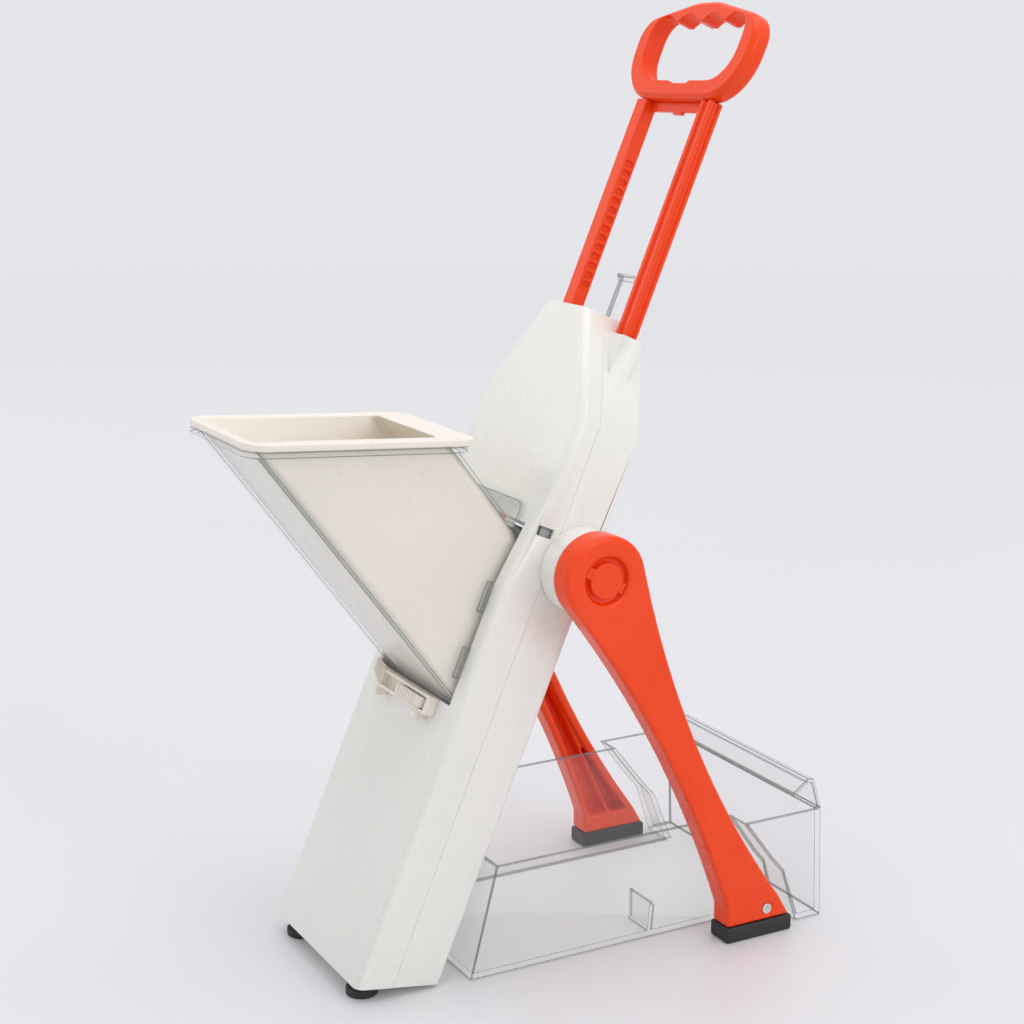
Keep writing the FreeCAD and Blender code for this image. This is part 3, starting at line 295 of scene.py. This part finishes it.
dial = eased("thickness_dial", 0.0003, orange)
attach(dial, "dial")

# ---------------------------------------------------------------- clear mouldings
# Chute, tray and lock tab in polished clear plastic. Its faces are nearly invisible, and its
# edges and the ends of its walls gather a grey green from the long way through.


def clear_plastic(name, tone, least, most, rough):
    """Clear plastic that lets light straight through, and shows more where it turns away."""
    material, shader, add, join = node_kit(name)
    place = add("TexCoord")
    haze = add("TexNoise", Scale=30.0, Detail=3.0)
    tint = add("ValToRGB")
    set_tones(tint, (*[c * 0.92 for c in tone], 1), (*tone, 1))
    gloss = add("MapRange")
    set_span(gloss, "To", rough * 0.6, rough * 1.5)
    rim = add("LayerWeight")
    rim.inputs["Blend"].default_value = 0.25
    steep = add("Math", operation="POWER")
    steep.inputs[1].default_value = 2.0
    cover = add("MapRange")
    set_span(cover, "To", least, most)
    join(place.outputs["Object"], haze.inputs["Vector"])
    join(haze.outputs["Fac"], gloss.inputs["Value"])
    join(haze.outputs["Fac"], tint.inputs["Fac"])
    join(tint.outputs["Color"], shader.inputs["Base Color"])
    join(gloss.outputs["Result"], shader.inputs["Roughness"])
    join(rim.outputs["Facing"], steep.inputs[0])
    join(steep.outputs["Value"], cover.inputs["Value"])
    join(cover.outputs["Result"], shader.inputs["Alpha"])
    shader.inputs["IOR"].default_value = 1.49
    return material


clear = clear_plastic("clear_plastic", (0.84, 0.87, 0.86), 0.045, 0.5, 0.05)
clear_edge = clear_plastic("clear_plastic_edge", (0.15, 0.20, 0.185), 0.62, 0.92, 0.12)
wall_end, wall_run = 0.0027, 0.03               # widest rim strip, and the shortest that counts
sharp_turn = 0.8                                # a rim's faces turn by more than this, in radians
under_wall = Vector((0, -0.8007, -0.599))       # the way the chute's lower wall faces
half_way, facing_slack = math.sqrt(0.5), 0.08   # a rounded corner faces half way between two
for node, body, width in (("feed_chute", "chute", 0.0005), ("catch_tray", "tray", 0.0007),
                          ("lock_tab", "lock", 0.0003)):
    piece = eased(node, width, clear)
    piece.data.materials.append(clear_edge)
    piece.modifiers["eased_edges"].material = 1
    shape = bmesh.new()
    shape.from_mesh(piece.data)
    for face in shape.faces:
        longest = max(edge.calc_length() for edge in face.edges)
        turns = [edge.calc_face_angle(0.0) for edge in face.edges
                 if edge.calc_length() > 0.5 * longest]
        strip = 2 * face.calc_area() / face.calc_perimeter() < wall_end
        corner = (node == "feed_chute"
                  and abs(abs(face.normal.x) - half_way) < facing_slack
                  and abs(abs(face.normal.dot(under_wall)) - half_way) < facing_slack)
        if corner or strip and longest > wall_run and min(turns) > sharp_turn:
            face.material_index = 1
    shape.to_mesh(piece.data)
    shape.free()
    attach(piece, body)

# ---------------------------------------------------------------- pusher and latch
# Cream plastic: a deep cup that fills the chute, and the bracket below the chute with the
# ribbed button that lets the chute go.

cream = moulded_plastic("cream_plastic", (0.86, 0.80, 0.705), 0.014, 0.3,
                        glow_through=0.06)
cup = eased("food_pusher", 0.0008, cream)
bracket = soft_moulding("latch_bracket", 0.0003, 2, cream, upright_turn)
button = soft_moulding("latch_button", 0.0002, 2, cream, upright_turn)
for piece, body in ((cup, "pusher"), (bracket, "body"), (button, "latch")):
    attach(piece, body)

# ---------------------------------------------------------------- inner carriage
# Grey plastic carriage on rails, the white platform behind the slicing gap and the comb's
# slider. They show through the chute's mouth, the side window and the rear outlet.

grey = moulded_plastic("grey_plastic", (0.42, 0.43, 0.44), 0.01, 0.42, skin=0.08)
for node, body in (("blade_carriage", "carriage"), ("comb_slider", "comb")):
    piece = eased(node, 0.0003, grey)
    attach(piece, body)
deck = eased("thickness_platform", 0.0003, white)
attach(deck, "platform")

# ---------------------------------------------------------------- steel
# Ground stainless strip for the blade and the comb's teeth, held in the carriage and the
# comb's slider, and drawn pins for the pivots, the lock tab and the springs.


def ground_steel(name, rough):
    """Stainless steel with fine lines along its length from grinding or drawing."""
    material, shader, add, join = node_kit(name)
    place = add("TexCoord")
    stretch = add("Mapping")
    stretch.inputs["Scale"].default_value = (6.0, 260.0, 260.0)
    lines = add("TexNoise", Scale=9.0, Detail=6.0)
    gloss = add("MapRange")
    set_span(gloss, "To", rough * 0.7, rough * 1.4)
    tint = add("ValToRGB")
    set_tones(tint, (0.50, 0.51, 0.53, 1), (0.70, 0.71, 0.72, 1))
    bump = add("Bump")
    bump.inputs["Strength"].default_value = 0.08
    bump.inputs["Distance"].default_value = 0.0001
    join(place.outputs["Object"], stretch.inputs["Vector"])
    join(stretch.outputs["Vector"], lines.inputs["Vector"])
    join(lines.outputs["Fac"], gloss.inputs["Value"])
    join(lines.outputs["Fac"], tint.inputs["Fac"])
    join(lines.outputs["Fac"], bump.inputs["Height"])
    join(tint.outputs["Color"], shader.inputs["Base Color"])
    join(gloss.outputs["Result"], shader.inputs["Roughness"])
    join(bump.outputs["Normal"], shader.inputs["Normal"])
    shader.inputs["Metallic"].default_value = 1.0
    return material


def refinish(node, material):
    """Give a node that keeps its own shape a better material."""
    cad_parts[node].data.materials.clear()
    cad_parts[node].data.materials.append(material)


steel = ground_steel("ground_steel", 0.28)
for node in ("main_blade", "julienne_comb", "spring_pegs", "lock_tab_pin", "leg_pivots"):
    refinish(node, steel)

# ---------------------------------------------------------------- return springs
# Two compression springs of drawn wire stand on pegs at the body's foot and push the
# carriage back up. Each is wound evenly from end to end.


def coil(foot, top, radius, wire, turns):
    """Wire wound from foot to top: a ring of wire swept round the spring's axis."""
    shape = bmesh.new()
    line = top - foot
    steps, wire_sides = turns * 20, 8
    bmesh.ops.create_circle(shape, segments=wire_sides, radius=wire)
    lay = Matrix.Translation((radius, 0, wire)) @ Matrix.Rotation(math.radians(90), 4, "X")
    bmesh.ops.transform(shape, matrix=lay, verts=shape.verts)
    bmesh.ops.spin(shape, geom=shape.verts[:] + shape.edges[:], angle=math.tau * turns,
                   steps=steps, axis=(0, 0, 1), cent=(0, 0, 0),
                   dvec=(0, 0, (line.length - 2 * wire) / steps), use_duplicate=False)
    ends = [e for e in shape.edges if e.is_boundary]
    bmesh.ops.holes_fill(shape, edges=ends, sides=wire_sides)
    bmesh.ops.recalc_face_normals(shape, faces=shape.faces)
    stand = line.to_track_quat("Z", "Y").to_matrix().to_4x4()
    bmesh.ops.transform(shape, matrix=Matrix.Translation(foot) @ stand, verts=shape.verts)
    return shape


along_body = Vector((0, math.cos(lean), math.sin(lean)))
spring_low, spring_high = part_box("return_springs")
spring_radius, wire_radius, spring_turns = 0.0025, 0.0005, 24
spring_long, handle_travel = 0.176, 0.105
spring_x = spring_high.x - (spring_radius + wire_radius)
spring_middle = (spring_low + spring_high) / 2
spring_foot = Vector((0, spring_middle.y, spring_middle.z)) - along_body * spring_long / 2
for side, label in ((1, "right"), (-1, "left")):
    foot = spring_foot + Vector((side * spring_x, 0, 0))
    wound = coil(foot, foot + along_body * spring_long, spring_radius, wire_radius,
                 spring_turns)
    spring = finish_mesh(label + "_spring_coil", wound, steel, 60)
    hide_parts("return_springs")
    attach(spring, "body")
    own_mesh(spring)

# ---------------------------------------------------------------- screws
# Plated cross-head screws: domed heads with a cross recess, at the shoes, on the blade and
# in the back of the body.


def plated(name):
    """Bright plating whose gloss is broken up by fine grime."""
    material, shader, add, join = node_kit(name)
    place = add("TexCoord")
    grime = add("TexNoise", Scale=600.0, Detail=4.0)
    gloss = add("MapRange")
    set_span(gloss, "To", 0.08, 0.26)
    tint = add("ValToRGB")
    set_tones(tint, (0.60, 0.60, 0.62, 1), (0.82, 0.82, 0.83, 1))
    join(place.outputs["Object"], grime.inputs["Vector"])
    join(grime.outputs["Fac"], gloss.inputs["Value"])
    join(grime.outputs["Fac"], tint.inputs["Fac"])
    join(tint.outputs["Color"], shader.inputs["Base Color"])
    join(gloss.outputs["Result"], shader.inputs["Roughness"])
    shader.inputs["Metallic"].default_value = 1.0
    return material


chrome = plated("plated_screw")
for node, body in (("right_shoe_screw", "right_leg_body"),
                   ("left_shoe_screw", "left_leg_body"), ("shell_screws", "body")):
    piece = eased(node, 0.00025, chrome)
    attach(piece, body)
refinish("blade_screws", chrome)

# ---------------------------------------------------------------- rubber shoes and feet
# Black rubber shoes pressed over the leg ends and two round feet under the body's front
# edge, matt and slightly dusty.


def black_rubber(name):
    """Matt black rubber with a faint uneven dust."""
    material, shader, add, join = node_kit(name)
    place = add("TexCoord")
    dust = add("TexNoise", Scale=220.0, Detail=6.0, Roughness=0.65)
    tint = add("ValToRGB")
    set_tones(tint, (0.010, 0.010, 0.011, 1), (0.034, 0.033, 0.032, 1))
    gloss = add("MapRange")
    set_span(gloss, "To", 0.45, 0.75)
    bump = add("Bump")
    bump.inputs["Strength"].default_value = 0.25
    bump.inputs["Distance"].default_value = 0.0003
    join(place.outputs["Object"], dust.inputs["Vector"])
    join(dust.outputs["Fac"], tint.inputs["Fac"])
    join(dust.outputs["Fac"], gloss.inputs["Value"])
    join(dust.outputs["Fac"], bump.inputs["Height"])
    join(tint.outputs["Color"], shader.inputs["Base Color"])
    join(gloss.outputs["Result"], shader.inputs["Roughness"])
    join(bump.outputs["Normal"], shader.inputs["Normal"])
    return material


rubber = black_rubber("black_rubber")
for node, body, width in (("body_feet", "body", 0.0009),
                          ("right_shoe", "right_leg_body", 0.0012),
                          ("left_shoe", "left_leg_body", 0.0012)):
    piece = eased(node, width, rubber, steps=3)
    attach(piece, body)
